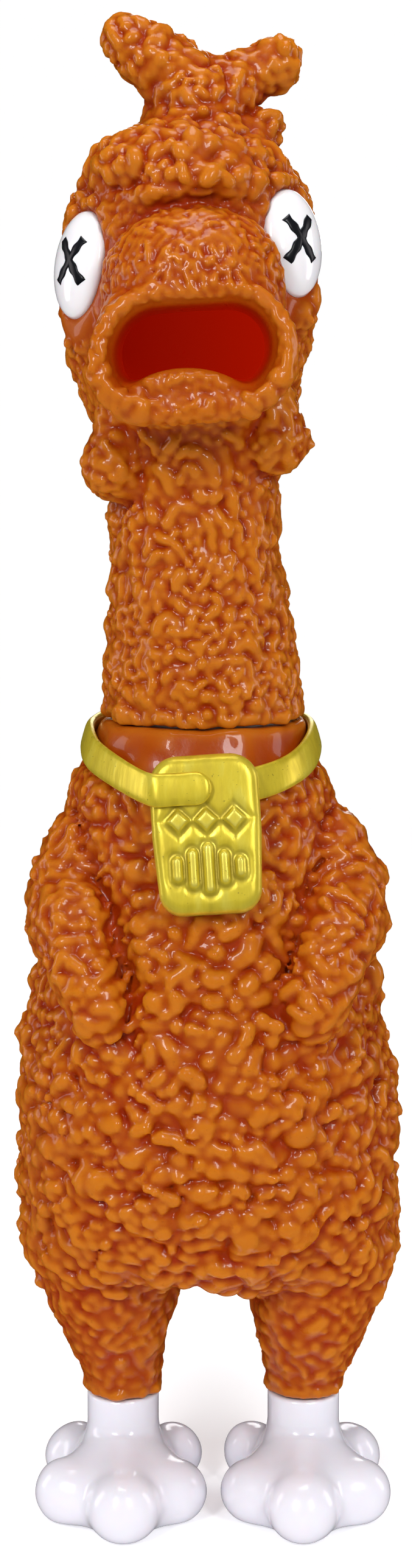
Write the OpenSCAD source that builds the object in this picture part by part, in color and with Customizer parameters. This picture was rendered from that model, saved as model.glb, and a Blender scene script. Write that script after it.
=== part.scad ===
// Squeeze-and-scream rubber chicken: a hollow vinyl toy with a fried-crust skin.
// The head and neck moulding turns on a rigid whistle plug pressed into the body's collar.
// +Z is up, the beak faces -Y, and the soles stand on z = 0. All sizes are in millimetres.
// Left is towards -X: the side that someone who faces the chicken sees on their left.

/* [Shells] */
// Wall thickness of the hollow vinyl mouldings
wall = 2.4; // [1.8:0.1:3]
// Sides of a lofted section
loft_sides = 28; // [24:4:40]
// Gap between parts that touch without moving
seat_gap = 0.1; // [0.05:0.05:0.2]
// Gap between parts that turn against each other
turn_gap = 0.3; // [0.2:0.05:0.4]

/* [Body] */
// Half width of the belly at its widest
belly_half_width = 39.6; // [36:0.2:42]
// Half depth of the belly, front to back
belly_half_depth = 33; // [30:0.2:35]
// Height of the crotch between the legs
crotch_z = 51; // [46:0.5:51]
// Height of the collar's rim, where the neck starts
collar_z = 163.6; // [162:0.2:165]
// Radius of the collar's rim
collar_r = 20; // [19.5:0.1:20.5]

/* [Legs and feet] */
// Half the distance between the leg axes at the cuffs
leg_half_gap = 18.7; // [17.5:0.1:20]
// Sideways shift of both legs
leg_shift = 1.5; // [0:0.1:2]
// Height of the cuffs' lower edge
cuff_z = 24.3; // [23:0.1:26]
// Radius of a cuff
cuff_r = 8; // [7.6:0.1:8.6]
// Radius of the bone shank below the cuff
shank_r = 7.4; // [7:0.1:7.5]
// Radius of the foot's plug inside the cuff
plug_r = 5.5; // [5:0.1:5.8]
// Radius of the longest toe
toe_r = 6.6; // [6:0.1:7]

/* [Head] */
// Half width of the skull
skull_half_width = 23.8; // [22:0.2:25]
// Half depth of the skull
skull_half_depth = 22; // [20:0.2:23]
// Sideways lean of the head from the neck's axis
head_lean = -3.3; // [-4:0.1:0]
// Half width of the mouth opening
mouth_half_width = 15.5; // [14:0.1:16]
// Radius of the mouth's rounded ends
mouth_r = 8.2; // [7.5:0.1:8.5]
// How far the lips stand in front of the neck's axis
lip_reach = 34; // [32:0.5:35]

/* [Necklace] */
// Width of the necklace strap
strap_w = 6.4; // [5:0.1:7]
// Thickness of the necklace strap
strap_t = 1.6; // [1.2:0.1:2]
// Width of the tag
tag_w = 21; // [18:0.5:22]
// Height of the tag
tag_h = 30.5; // [28:0.5:32]
// Thickness of the tag in front of the chest
tag_t = 3.4; // [2.5:0.1:4]
// Corner radius of the tag
tag_corner_r = 4.2; // [3:0.1:5]

/* [Whistle] */
// Radius of the whistle plug's barrel in the collar
barrel_r = 14; // [13:0.1:14.5]
// Radius of the plug's neck, which the head turns on
swivel_r = 15; // [14.5:0.1:15.2]
// Radius of the bore that holds the reed trough
bore_r = 7; // [6.5:0.1:7.5]
// Length of the free part of the reed
reed_l = 17; // [14:0.5:18]
// Width of the reed
reed_w = 6; // [5:0.1:7]
// Thickness of the reed
reed_t = 0.3; // [0.2:0.05:0.4]
// Angle between the resting reed and the trough's face
reed_lift = 5; // [4:0.5:6]

/* [Hidden] */
$fn = 64;
tiny = 0.01;
ball_fn = 22;

vinyl = "#C8641A";
bone_white = "#ECE7EE";
mark_black = "#15161A";
gold = "#C9B638";
whistle_plastic = "#D8D8D2";
reed_film = "#E8EEF0";

// Body profile: [half width, half depth, x, y], one row every torso_pitch from the crotch to the collar.
torso_pitch = (collar_z + 0.4 - crotch_z) / 12;
torso_profile = [
    [27, 19, 1, 0],
    [37.8, 28.8, 0.6, 0],
    [belly_half_width - 0.5, belly_half_depth - 1, 0.2, 0],
    [belly_half_width, belly_half_depth, 0, 0],
    [belly_half_width - 0.6, belly_half_depth, -0.2, 0],
    [belly_half_width - 1.8, belly_half_depth - 0.4, 0, 0],
    [36, 31.8, 0, 0],
    [33.4, 30.4, 0, 0],
    [30.6, 28.8, 0, 0],
    [28.4, 27.2, 0, 0],
    [26.8, 26.2, -0.4, 0],
    [24, 24.6, -0.4, 0],
    [collar_r, collar_r, 0, 0]
];

// Neck and skull profile, one row every head_pitch from the neck's lower edge to the crown.
neck_z = collar_z + 0.5;
head_pitch = 9;
head_profile = [
    [19.6, 19.6, 0, 0],
    [19.3, 19.3, -0.6, 0],
    [18, 18, -1.2, 0],
    [17.1, 17.1, -1.7, 0],
    [16.4, 16.4, -2.1, 0],
    [16.1, 16.2, -2.3, 0],
    [17.5, 17.5, -2.7, -0.5],
    [21, 19.5, head_lean + 0.3, -1],
    [skull_half_width - 0.6, skull_half_depth - 1, head_lean - 0.2, -1],
    [skull_half_width, skull_half_depth - 0.2, head_lean, -1],
    [skull_half_width + 0.2, skull_half_depth, head_lean + 0.1, -1],
    [skull_half_width - 0.6, skull_half_depth - 0.8, head_lean + 0.3, -1],
    [18.2, 17.5, head_lean + 0.9, -1],
    [8, 9, head_lean + 1.5, -1]
];

// Beak profile along -Y: [half width, half height, x, z], one row every beak_pitch.
beak_start = 6;
beak_pitch = (lip_reach - beak_start) / 4;
beak_x = -2.4;
beak_profile = [
    [18, 17, beak_x - 0.6, 243],
    [17.4, 16, beak_x - 0.4, 241.5],
    [17.6, 14.4, beak_x, 239.5],
    [19.2, 13.4, beak_x, 237.2],
    [18.6, 12.4, beak_x, 236.6]
];
snout_place = [beak_x + 0.43, -18.8, 249.15];
snout_r = [16.8, 13.7, 14];
mouth_z = 237;

// Leg profile: [half width, half depth, x from the leg's axis, y], one row every leg_pitch.
leg_pitch = 8;
leg_y = -4;
leg_profile = [
    [cuff_r, cuff_r, 0, leg_y],
    [cuff_r + 2.6, cuff_r + 2.8, 0.8, leg_y + 0.5],
    [cuff_r + 5, cuff_r + 6, 1.6, leg_y + 1],
    [cuff_r + 7.6, cuff_r + 9, 2.2, leg_y + 2],
    [cuff_r + 8.8, cuff_r + 12, 1.6, leg_y + 3],
    [cuff_r + 5, cuff_r + 9, 0, leg_y + 4]
];

// Eye placement: [x, y, z, turn from straight sideways towards the front].
left_eye_place = [-22.2, -10.5, 252.3, 38];
right_eye_place = [14.9, -12, 256.3, 46];
eye_lean = 9;
eye_seat = 2.4;
eye_pocket_depth = 8;
eye_profile = [[7.2, 10.4, 0, 0], [6.9, 9.9, 0, 0], [5.9, 8.5, 0, 0], [3.8, 5.4, 0, 0], [0.8, 1.1, 0, 0]];
eye_pitch = 0.85;
eye_boss_profile = [[9.6, 14.6, 0, -2.4], [9.2, 14, 0, -2.2], [7.8, 12, 0, -1.2]];
eye_boss_pitch = 4;
cross_stroke = [1.9, 11];
cross_angle = 33;
cross_t = 0.25;

// Necklace path: the strap sags towards the tag in front and rises a little behind the neck.
strap_side_z = 160.6;
strap_sag = 7.2;
strap_rise = 1.4;
strap_lean = 16;
strap_steps = 40;
tag_centre = [0.2, -30, 145.4];
tag_depth = 7;
diamond_places = [-5.4, 0, 5.4];
diamond_y = 2.6;
diamond_side = 2.6;
level_bars = [[-6, 4.4], [-3, 7], [0, 9], [3, 6], [6, 3.6]];
level_bars_y = -6.6;
bar_w = 1.5;
relief_t = 0.5;
tag_lean = 14;
tag_roll = 3.5;
tongue_y = 8.6;
tongue_tip = 1.4;
strap_first = -76;
strap_last = 228;

// Whistle stack, from the collar's rim upwards.
flange_t = 1.8;
flange_r = 17;
web_z = collar_z + flange_t + turn_gap;
web_top = web_z + wall;
lip_z = web_top + turn_gap;
lip_t = 2;
lip_r = 16.6;
barrel_l = 11.6;
hub_r = bore_r + 1.8;
plug_top = lip_z + lip_t;
trough_l = 31;
trough_low = plug_top - trough_l;
clamp_z = trough_low + 1.5 + reed_l;
reed_root = 1.2;
channel_w = 3.6;
channel_d = 4.2;

// ---------- Lofting ----------

// Catmull-Rom value between rows p1 and p2.
function blend(p0, p1, p2, p3, t) =
    0.5 * (2 * p1 + (p2 - p0) * t + (2 * p0 - 5 * p1 + 4 * p2 - p3) * t * t
        + (3 * p1 - p0 - 3 * p2 + p3) * t * t * t);

// The profile's row at u pitches from its start.
function row_at(profile, u) =
    let(last = len(profile) - 1, i = max(0, min(floor(u), last - 1)))
    blend(profile[max(i - 1, 0)], profile[i], profile[i + 1], profile[min(i + 2, last)], u - i);

// A ring of points around the row, grown outwards by grow.
function ring(row, z, grow) = [
    for (k = [0:loft_sides - 1])
        let(a = 360 * k / loft_sides)
        [row[2] + (row[0] + grow) * cos(a), row[3] + (row[1] + grow) * sin(a), z]
];

// A closed solid through a profile, from low to high along Z.
module loft(profile, start, pitch, low, high, rings, grow = 0) {
    levels = [for (j = [0:rings]) low + (high - low) * j / rings];
    points = [for (z = levels) each ring(row_at(profile, (z - start) / pitch), z, grow)];
    sides = [
        for (j = [0:rings - 1], k = [0:loft_sides - 1])
            let(n = (k + 1) % loft_sides, a = j * loft_sides, b = a + loft_sides)
            each [[a + k, b + k, b + n], [a + k, b + n, a + n]]
    ];
    floor_face = [for (k = [0:loft_sides - 1]) k];
    roof_face = [for (k = [loft_sides - 1:-1:0]) rings * loft_sides + k];
    polyhedron(points, concat([floor_face, roof_face], sides), convexity = 6);
}

// A string of balls, each hulled to the next. A ball is [x, y, z, radius].
module string_of_balls(balls, grow = 0) {
    for (i = [0:len(balls) - 2])
        hull() {
            ball(balls[i], grow);
            ball(balls[i + 1], grow);
        }
}

module ball(b, grow) {
    translate([b[0], b[1], b[2]]) sphere(r = b[3] + grow, $fn = ball_fn);
}

// ---------- Body ----------

module torso(grow = 0) {
    cut = max(-grow, 0);
    loft(torso_profile, crotch_z, torso_pitch, crotch_z + cut, collar_z - cut, 18, grow);
}

// A folded wing on the side that side points to, -1 or 1.
module wing(side, grow = 0) {
    upper_arm = [[side * 24.8, -5, 138, 7.8], [side * 27, -7, 130.5, 9.7], [side * 27.4, -11, 124, 9.9]];
    fore_arm = [[side * 26, -15, 124, 9.7], [side * 22.8, -21.8, 116, 8.7], [side * 20.2, -26.2, 110.4, 7.2]];
    string_of_balls(upper_arm, grow);
    string_of_balls(fore_arm, grow);
}

module leg(side, grow = 0) {
    cut = max(-grow, 0);
    high = cuff_z + 5 * leg_pitch;
    translate([leg_x(side), 0, 0])
        scale([side, 1, 1])
            loft(leg_profile, cuff_z, leg_pitch, cuff_z + cut, high, 7, grow);
}

function leg_x(side) = side * leg_half_gap + leg_shift;

// The tail nub behind, level with the hips.
module tail(grow = 0) {
    string_of_balls([[0, 21, 62, 11], [0, 26.5, 68, 7.5], [0, 29.7, 75, 5.6]], grow);
}

module body_form(grow = 0) {
    torso(grow);
    tail(grow);
    for (side = [-1, 1]) {
        wing(side, grow);
        leg(side, grow);
    }
}

module body_shell() {
    color(vinyl)
        difference() {
            body_form();
            body_form(-wall);
            translate([0, 0, collar_z - 2 * wall]) cylinder(r = barrel_r + seat_gap, h = 3 * wall);
            for (side = [-1, 1])
                translate([leg_x(side), leg_y, cuff_z - wall])
                    cylinder(r = plug_r + seat_gap, h = 3 * wall);
        }
}

// ---------- Head ----------

module skull_and_neck(grow = 0) {
    cut = max(-grow, 0);
    top = neck_z + 13 * head_pitch;
    low = cut > 0 ? web_top : neck_z;
    loft(head_profile, neck_z, head_pitch, low, top - cut, 20, grow);
}

module beak() {
    rotate([90, 0, 0]) loft(beak_profile, beak_start, beak_pitch, beak_start, lip_reach, 7);
}

// The swollen bridge of the beak, from the upper lip to the brow.
module snout() {
    translate(snout_place) scale(snout_r) rotate([7, 0, 4]) sphere(r = 1, $fn = loft_sides + 2);
}

// The mouth's tunnel, with the lower lip's bump left standing.
module mouth() {
    end_x = mouth_half_width - mouth_r;
    difference() {
        hull()
            for (x = [-end_x, end_x])
                translate([beak_x + x, 0, mouth_z])
                    rotate([90, 0, 0])
                        cylinder(r = mouth_r, h = lip_reach + 2, $fn = 32);
        translate([beak_x, 0, mouth_z - mouth_r - 2])
            rotate([90, 0, 0])
                cylinder(r = 5.4, h = lip_reach + 3, $fn = 32);
    }
}

module comb() {
    string_of_balls([[-2, -1, 272, 9.5], [-2, -1, 282.5, 8.8], [-9.5, -1, 292, 6.4], [-14.7, -1, 295.6, 5.7]]);
    string_of_balls([[0, 0, 282.5, 7.4], [8, 0.5, 288.8, 5.2], [13.6, 0.5, 290.2, 4.8]]);
    string_of_balls([[3, 0.5, 279, 4.4], [8.4, 0.5, 279.4, 4.2]]);
}

module wattles() {
    string_of_balls([[-16.6, -8, 222, 5.4], [-18, -9, 214.6, 6.4]]);
    string_of_balls([[12.6, -8, 227, 5.4], [14, -9, 219.4, 6.4]]);
}

// Puts children on an eye: local Z points out of the eye, local Y up.
module at_eye(place, side) {
    translate([place[0], place[1], place[2]])
        rotate([0, 0, side > 0 ? -place[3] : 180 + place[3]])
            rotate([0, -eye_lean, 0])
                rotate([90, 0, 90])
                    children();
}

module eye_boss(place, side) {
    at_eye(place, side)
        loft(eye_boss_profile, eye_seat - 2 * eye_boss_pitch, eye_boss_pitch,
            eye_seat - 2 * eye_boss_pitch, eye_seat, 4);
}

// Clears the skull's own curve away from the eye, down to the boss.
module eye_pocket(place, side) {
    at_eye(place, side)
        translate([0, 0, eye_seat])
            scale([eye_profile[0][0] + turn_gap, eye_profile[0][1] + turn_gap, 1])
                cylinder(r = 1, h = eye_pocket_depth, $fn = loft_sides);
}

module head_shell() {
    color(vinyl)
        difference() {
            union() {
                skull_and_neck();
                beak();
                snout();
                comb();
                wattles();
                eye_boss(left_eye_place, -1);
                eye_boss(right_eye_place, 1);
            }
            skull_and_neck(-wall);
            mouth();
            eye_pocket(left_eye_place, -1);
            eye_pocket(right_eye_place, 1);
            translate([0, 0, neck_z - 1]) cylinder(r = flange_r + turn_gap, h = web_z - neck_z + 1);
            translate([0, 0, neck_z]) cylinder(r = swivel_r + turn_gap, h = 2 * wall + 2);
        }
}

module eye_dome(grow = 0) {
    low = eye_seat + seat_gap;
    loft(eye_profile, low, eye_pitch, low, low + 4 * eye_pitch + grow, 8, grow);
}

module eye(place, side) {
    color(bone_white) at_eye(place, side) eye_dome();
}

// Two crossed strokes that lie on the dome.
module eye_cross(place, side) {
    color(mark_black)
        at_eye(place, side)
            intersection() {
                difference() {
                    eye_dome(cross_t);
                    eye_dome(tiny);
                }
                for (turn = [-cross_angle, cross_angle])
                    rotate([0, 0, turn])
                        translate([0, 0, eye_seat + 4])
                            cube([cross_stroke[0], cross_stroke[1], 8], center = true);
            }
}

module left_eye() {
    eye(left_eye_place, -1);
}

module right_eye() {
    eye(right_eye_place, 1);
}

module left_eye_cross() {
    eye_cross(left_eye_place, -1);
}

module right_eye_cross() {
    eye_cross(right_eye_place, 1);
}

// ---------- Feet ----------

// Toe balls: [x, y from the leg's axis, radius]. Each is sunk a little, so that its sole is flat.
toes = [
    [-1, -20.5, toe_r],
    [-11.6, -8.6, toe_r - 0.4],
    [11.6, -9, toe_r - 0.3],
    [-10.2, 9.6, toe_r - 0.5],
    [10.2, 9.4, toe_r - 0.5]
];
toe_sink = 0.6;
hub_ball_r = 9.6;
ankle_r = 10.2;
ankle_z = [6, 17];
plug_l = 7;
foot_bore_r = 3.3;
bore_end_r = 6.2;

// A knobbly bone-end foot with a shank that plugs into the cuff.
module foot(side) {
    color(bone_white)
        translate([leg_x(side), leg_y, 0])
            scale([side, 1, 1])
                difference() {
                    union() {
                        for (t = toes) translate([t[0], t[1], t[2] - toe_sink]) sphere(r = t[2]);
                        translate([0, -5, hub_ball_r - 2]) sphere(r = hub_ball_r);
                        translate([0, 0, ankle_z[0]])
                            cylinder(r1 = ankle_r, r2 = shank_r, h = ankle_z[1] - ankle_z[0]);
                        translate([0, 0, ankle_z[1] - 1])
                            cylinder(r = shank_r, h = cuff_z - seat_gap - ankle_z[1] + 1);
                        translate([0, 0, ankle_z[1]]) cylinder(r = plug_r, h = cuff_z + plug_l - ankle_z[1]);
                    }
                    translate([-40, -40, -20]) cube([80, 80, 20]);
                    translate([0, 0, ankle_r]) cylinder(r = foot_bore_r, h = cuff_z + plug_l);
                    translate([0, 0, ankle_r]) sphere(r = bore_end_r);
                }
}

module left_foot() {
    foot(-1);
}

module right_foot() {
    foot(1);
}

// ---------- Necklace ----------

function torso_row(z) = row_at(torso_profile, (z - crotch_z) / torso_pitch);

function strap_z(a) = strap_side_z - strap_sag * pow(max(0, -sin(a)), 1.5) + strap_rise * max(0, sin(a));

// Distance from the neck's axis to the torso's skin, in the direction a.
function torso_reach(a, z) =
    let (row = torso_row(z)) row[2] * cos(a) + 1 / norm([cos(a) / row[0], sin(a) / row[1]]);

// Distance from the neck's axis to the strap's middle line, so that its whole width clears the torso.
function strap_r(a) =
    max([for (k = [-4:4]) let (h = k / 8 * strap_w) torso_reach(a, strap_z(a) + h) + tan(strap_lean) * h])
    + 2 * seat_gap + strap_t / 2;

// A band's station: [place, outward direction, width direction, half width].
function strap_station(a) = [
    [strap_r(a) * cos(a), strap_r(a) * sin(a), strap_z(a)],
    [cos(a) * cos(strap_lean), sin(a) * cos(strap_lean), sin(strap_lean)],
    [-cos(a) * sin(strap_lean), -sin(a) * sin(strap_lean), cos(strap_lean)],
    strap_w / 2
];

function strap_run(first, last, steps) = [for (i = [0:steps]) strap_station(first + (last - first) * i / steps)];

// A flat band swept through stations, grown on every side by grow.
module band(stations, thick, grow = 0) {
    last = 4 * (len(stations) - 1);
    points = [
        for (s = stations)
            let(out = s[1] * (thick / 2 + grow), up = s[2] * (s[3] + grow))
            each [s[0] + out + up, s[0] - out + up, s[0] - out - up, s[0] + out - up]
    ];
    sides = [
        for (a = [0:4:last - 4], k = [0:3])
            let(n = (k + 1) % 4, b = a + 4)
            each [[a + k, a + n, b + n], [a + k, b + n, b + k]]
    ];
    polyhedron(points, concat([[1, 0, 3, 2], [last, last + 1, last + 2, last + 3]], sides), convexity = 6);
}

// Puts children on the tag: local Z points out of its face, local Y up its length.
module at_tag() {
    translate(tag_centre) rotate([90 - tag_lean, 0, 0]) rotate([0, 0, tag_roll]) children();
}

// The direction that v, given on the tag, has in the part's frame.
function tag_turned(v) =
    let(x = v[0] * cos(tag_roll) - v[1] * sin(tag_roll), y = v[0] * sin(tag_roll) + v[1] * cos(tag_roll))
    [x, y * sin(tag_lean) - v[2] * cos(tag_lean), y * cos(tag_lean) + v[2] * sin(tag_lean)];

// The strap's free end, which laps over the tag's face from the left and has a round tip.
function tongue_station(x, half_width) = [
    tag_centre + tag_turned([x, tongue_y, tag_t / 2 + seat_gap + strap_t / 2]),
    tag_turned([0, 0, 1]),
    tag_turned([0, 1, 0]),
    half_width
];

function tongue_run() = concat(
    [tongue_station(-tag_w / 2 - 1, strap_w / 2), tongue_station(tongue_tip - strap_w / 2, strap_w / 2)],
    [for (t = [15:15:75]) tongue_station(tongue_tip - strap_w / 2 * (1 - sin(t)), strap_w / 2 * cos(t))]
);

module necklace_strap() {
    color(gold) band(concat(strap_run(strap_first, strap_last, strap_steps), tongue_run()), strap_t);
}

module rounded_plate(w, h, r, t) {
    linear_extrude(t) {
        square([w - 2 * r, h], center = true);
        square([w, h - 2 * r], center = true);
        for (x = [-1, 1], y = [-1, 1])
            translate([x * (w / 2 - r), y * (h / 2 - r)]) circle(r = r);
    }
}

// The tag's raised pattern: a row of diamonds over a row of sound-level bars.
module tag_relief() {
    for (x = diamond_places)
        translate([x, diamond_y, 0]) rotate([0, 0, 45]) linear_extrude(relief_t) square(diamond_side, center = true);
    for (b = level_bars)
        translate([b[0], level_bars_y, 0]) rounded_plate(bar_w, b[1], bar_w / 2 - tiny, relief_t);
}

// The plate's back follows the chest, and leaves a slot for the strap to pass behind it.
module tag() {
    color(gold)
        difference() {
            at_tag() {
                translate([0, 0, tag_t / 2 - tag_depth]) rounded_plate(tag_w, tag_h, tag_corner_r, tag_depth);
                translate([0, 0, tag_t / 2]) tag_relief();
            }
            loft(torso_profile, crotch_z, torso_pitch, tag_centre[2] - 22, collar_z, 8, 2 * seat_gap);
            band(strap_run(strap_first - 3, strap_first + 25, 4), strap_t, seat_gap);
        }
}

// ---------- Whistle ----------

// Barrel, flange, swivel neck and retaining lip turned in one piece around the bore.
module whistle_plug() {
    low = collar_z - barrel_l;
    color(whistle_plastic)
        rotate_extrude()
            polygon([
                [bore_r, low - 3], [hub_r, low - 3], [hub_r, collar_z - 2], [barrel_r - 2, collar_z - 2],
                [barrel_r - 2, low], [barrel_r, low], [barrel_r, collar_z], [flange_r, collar_z],
                [flange_r, collar_z + flange_t], [swivel_r, collar_z + flange_t], [swivel_r, lip_z],
                [lip_r, lip_z], [lip_r - 1, plug_top], [swivel_r - 2, plug_top],
                [swivel_r - 2, collar_z + flange_t], [hub_r, collar_z + flange_t],
                [hub_r, plug_top], [bore_r, plug_top]
            ]);
}

// A half-round stick with a tone channel, its face cut back below the reed.
module reed_trough() {
    color(whistle_plastic)
        difference() {
            translate([0, 0, trough_low]) cylinder(r = bore_r - seat_gap, h = trough_l);
            translate([-bore_r, seat_gap - 2 * bore_r, trough_low - 1]) cube([2 * bore_r, 2 * bore_r, trough_l + 2]);
            translate([0, seat_gap, clamp_z])
                rotate([reed_lift, 0, 0])
                    translate([-bore_r, -bore_r, -trough_l]) cube([2 * bore_r, bore_r, trough_l]);
            translate([-channel_w / 2, -1, trough_low + 2]) cube([channel_w, 1 + channel_d, trough_l]);
        }
}

// The block that clamps the reed's root against the trough, with an air slot in its back.
module reed_wedge() {
    color(whistle_plastic)
        difference() {
            translate([0, 0, clamp_z]) cylinder(r = bore_r - seat_gap, h = plug_top - clamp_z);
            translate([-bore_r, -reed_t - seat_gap, clamp_z - 1]) cube([2 * bore_r, 2 * bore_r, trough_l]);
            translate([-channel_w / 2, -bore_r, clamp_z + 3]) cube([channel_w, bore_r / 2, trough_l]);
        }
}

// The thin film that buzzes, with its root between the wedge and the trough.
module reed() {
    color(reed_film)
        translate([-reed_w / 2, -reed_t, clamp_z - reed_l]) cube([reed_w, reed_t, reed_l + reed_root]);
}

body_shell();
head_shell();
left_foot();
right_foot();
left_eye();
right_eye();
left_eye_cross();
right_eye_cross();
necklace_strap();
tag();
whistle_plug();
reed_trough();
reed_wedge();
reed();
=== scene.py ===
"""Looks of the squeeze-and-scream rubber chicken.

The two vinyl mouldings, the feet and the tag are sculpted as distance fields in numpy: smooth forms are
joined first, then thousands of small lumps are pressed on the mouldings to make the fried crust, and OpenVDB
turns each field into a mesh. Lengths are in millimetres until a mesh is made. Left is towards -X, and the
beak faces -Y.
"""

import math

import bpy
import numpy as np
import openvdb
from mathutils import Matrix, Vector


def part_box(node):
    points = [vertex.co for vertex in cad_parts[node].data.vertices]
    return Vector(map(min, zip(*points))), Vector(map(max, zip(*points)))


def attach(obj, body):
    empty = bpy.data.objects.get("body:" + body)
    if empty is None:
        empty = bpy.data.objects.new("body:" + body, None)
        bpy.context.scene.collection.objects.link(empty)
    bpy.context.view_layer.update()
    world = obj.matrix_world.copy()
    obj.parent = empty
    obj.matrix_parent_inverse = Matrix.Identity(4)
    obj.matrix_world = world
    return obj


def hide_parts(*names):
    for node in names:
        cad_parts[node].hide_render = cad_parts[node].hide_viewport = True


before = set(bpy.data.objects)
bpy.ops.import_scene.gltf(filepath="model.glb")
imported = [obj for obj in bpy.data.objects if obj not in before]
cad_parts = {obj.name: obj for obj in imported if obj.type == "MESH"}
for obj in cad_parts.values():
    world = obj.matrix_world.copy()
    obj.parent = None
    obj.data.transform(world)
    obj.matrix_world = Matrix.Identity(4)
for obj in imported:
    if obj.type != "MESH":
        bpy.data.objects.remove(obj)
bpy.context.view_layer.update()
MM = 0.001


def node_box(name):
    """A CAD node's lowest and highest corners in millimetres."""
    low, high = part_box(name)
    return np.array(low) / MM, np.array(high) / MM


BODY_LOW, BODY_HIGH = node_box("body_shell")
HEAD_LOW, HEAD_HIGH = node_box("head_shell")
CUFF_Z = BODY_LOW[2]
COLLAR_Z = BODY_HIGH[2]
NECK_Z = HEAD_LOW[2]
BELLY_HALF = BODY_HIGH[0]

# ---------- Driving sizes, in millimetres ----------

STEP_BODY = 0.56
STEP_HEAD = 0.52
STEP_FOOT = 0.55
STEP_TAG = 0.3
CRUST = 1.5  # how far the crust's lumps stand out of the smooth form
CROTCH_Z = 51
LEG_HALF_GAP = 18.7
LEG_SHIFT = 1.5
LEG_Y = -4
HEAD_LEAN = -3.3
LIP_Y = -34
HEAD_WALL = 3.6
MOUTH = (-2.4, 236.3)
PLUG_R = 14.1
FLANGE_R = 17.3
SWIVEL_R = 15.3
STRAP_W = 6.4
STRAP_T = 1.6
STRAP_X = -1
STRAP_SIDE_Z = 160.6
STRAP_SAG = 7.2
STRAP_RISE = 1.4
STRAP_LEAN = math.radians(16)
STRAP_ENDS = (-76, 228)  # degrees round the neck
TAG_W = 21
TAG_H = 30.5
TAG_T = 3.4
TAG_TAPER = 0.06  # how much narrower each side gets per millimetre below the tag's middle
TAG_CENTRE = (0.2, -30, 145.4)
TAG_LEAN = math.radians(14)
TAG_ROLL = math.radians(3.5)
TONGUE_Y = 8.6
TONGUE_TIP = 1.4

rng = np.random.default_rng(11)


# ---------- Distance fields ----------


def spline(at, knots, values):
    """A smooth curve through values at knots, read at each point of at."""
    knots, values = np.asarray(knots, float), np.asarray(values, float)
    slopes = np.gradient(values, knots)
    i = np.clip(np.searchsorted(knots, at) - 1, 0, len(knots) - 2)
    width = knots[i + 1] - knots[i]
    t = np.clip((at - knots[i]) / width, 0, 1)
    rise = (2 * t**3 - 3 * t**2 + 1) * values[i] + (3 * t**2 - 2 * t**3) * values[i + 1]
    bend = (t**3 - 2 * t**2 + t) * slopes[i] + (t**3 - t**2) * slopes[i + 1]
    return rise + bend * width


def join(a, b, k):
    """Union of two fields with a fillet about k wide."""
    h = np.maximum(k - np.abs(a - b), 0) / k
    return np.minimum(a, b) - h * h * k / 4


def cut(a, b, k):
    """Field a without field b, with an edge rounded about k wide."""
    return -join(-a, b, k)


class Field:
    """Signed distances on a regular grid, negative inside."""

    def __init__(self, low, high, step):
        self.low, self.step = np.array(low, float), step
        self.shape = tuple(np.ceil((np.array(high, float) - low) / step).astype(int) + 1)
        lines = [self.low[i] + step * np.arange(self.shape[i]) for i in range(3)]
        self.x = lines[0].astype(np.float32)[:, None, None]
        self.y = lines[1].astype(np.float32)[None, :, None]
        self.z = lines[2].astype(np.float32)[None, None, :]
        self.d = np.full(self.shape, 30, np.float32)
        self.warp = None

    def block(self, low, high):
        """The slices of the grid between two corners."""
        first = np.clip(((low - self.low) / self.step).astype(int), 0, self.shape)
        last = np.clip(((high - self.low) / self.step).astype(int) + 2, 0, self.shape)
        return tuple(slice(a, b) for a, b in zip(first, last))

    def noise(self, size):
        """Smooth random values from -1 to 1 with features about size wide."""
        counts = [int(n * self.step / size) + 3 for n in self.shape]
        values = rng.uniform(-1, 1, counts)
        for axis, n in enumerate(self.shape):
            at = np.arange(n) * self.step / size
            i = at.astype(int)
            t = at - i
            t = (t * t * (3 - 2 * t)).reshape([-1 if k == axis else 1 for k in range(3)])
            values = np.take(values, i, axis) * (1 - t) + np.take(values, i + 1, axis) * t
        return values.astype(np.float32)

    def sample(self, values, points):
        """Values of a grid array at points, by trilinear interpolation."""
        at = np.clip((points - self.low) / self.step, 0, np.array(self.shape) - 1.001)
        i = at.astype(int)
        t = at - i
        total = np.zeros(len(points))
        for corner in np.ndindex(2, 2, 2):
            weight = np.prod(np.where(corner, t, 1 - t), axis=1)
            total += weight * values[tuple((i + corner).T)]
        return total


def loft(f, table):
    """Distance from an upright body of ellipses. A table row is [z, half width, half depth, x, y]."""
    table = np.array(table, float)
    a, b, x, y = (spline(f.z, table[:, 0], table[:, i]).astype(np.float32) for i in range(1, 5))
    px, py = f.x - x, f.y - y
    k0 = np.sqrt((px / a) ** 2 + (py / b) ** 2)
    k1 = np.sqrt((px / a**2) ** 2 + (py / b**2) ** 2) + 1e-4
    side = k0 * (k0 - 1) / k1
    end = np.maximum(table[0, 0] - f.z, f.z - table[-1, 0])
    return -join(-side, -end, 1.4)


def strand(f, balls):
    """Distance from a string of balls, each a row [x, y, z, radius], joined by cones."""
    total = None
    for a, b in zip(balls[:-1], balls[1:]):
        a, b = np.array(a, float), np.array(b, float)
        line = b[:3] - a[:3]
        px, py, pz = f.x - a[0], f.y - a[1], f.z - a[2]
        t = np.clip((px * line[0] + py * line[1] + pz * line[2]) / (line @ line), 0, 1)
        gap = np.sqrt((px - t * line[0]) ** 2 + (py - t * line[1]) ** 2 + (pz - t * line[2]) ** 2)
        d = gap - (a[3] + t * (b[3] - a[3]))
        total = d if total is None else np.minimum(total, d)
    return total


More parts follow.
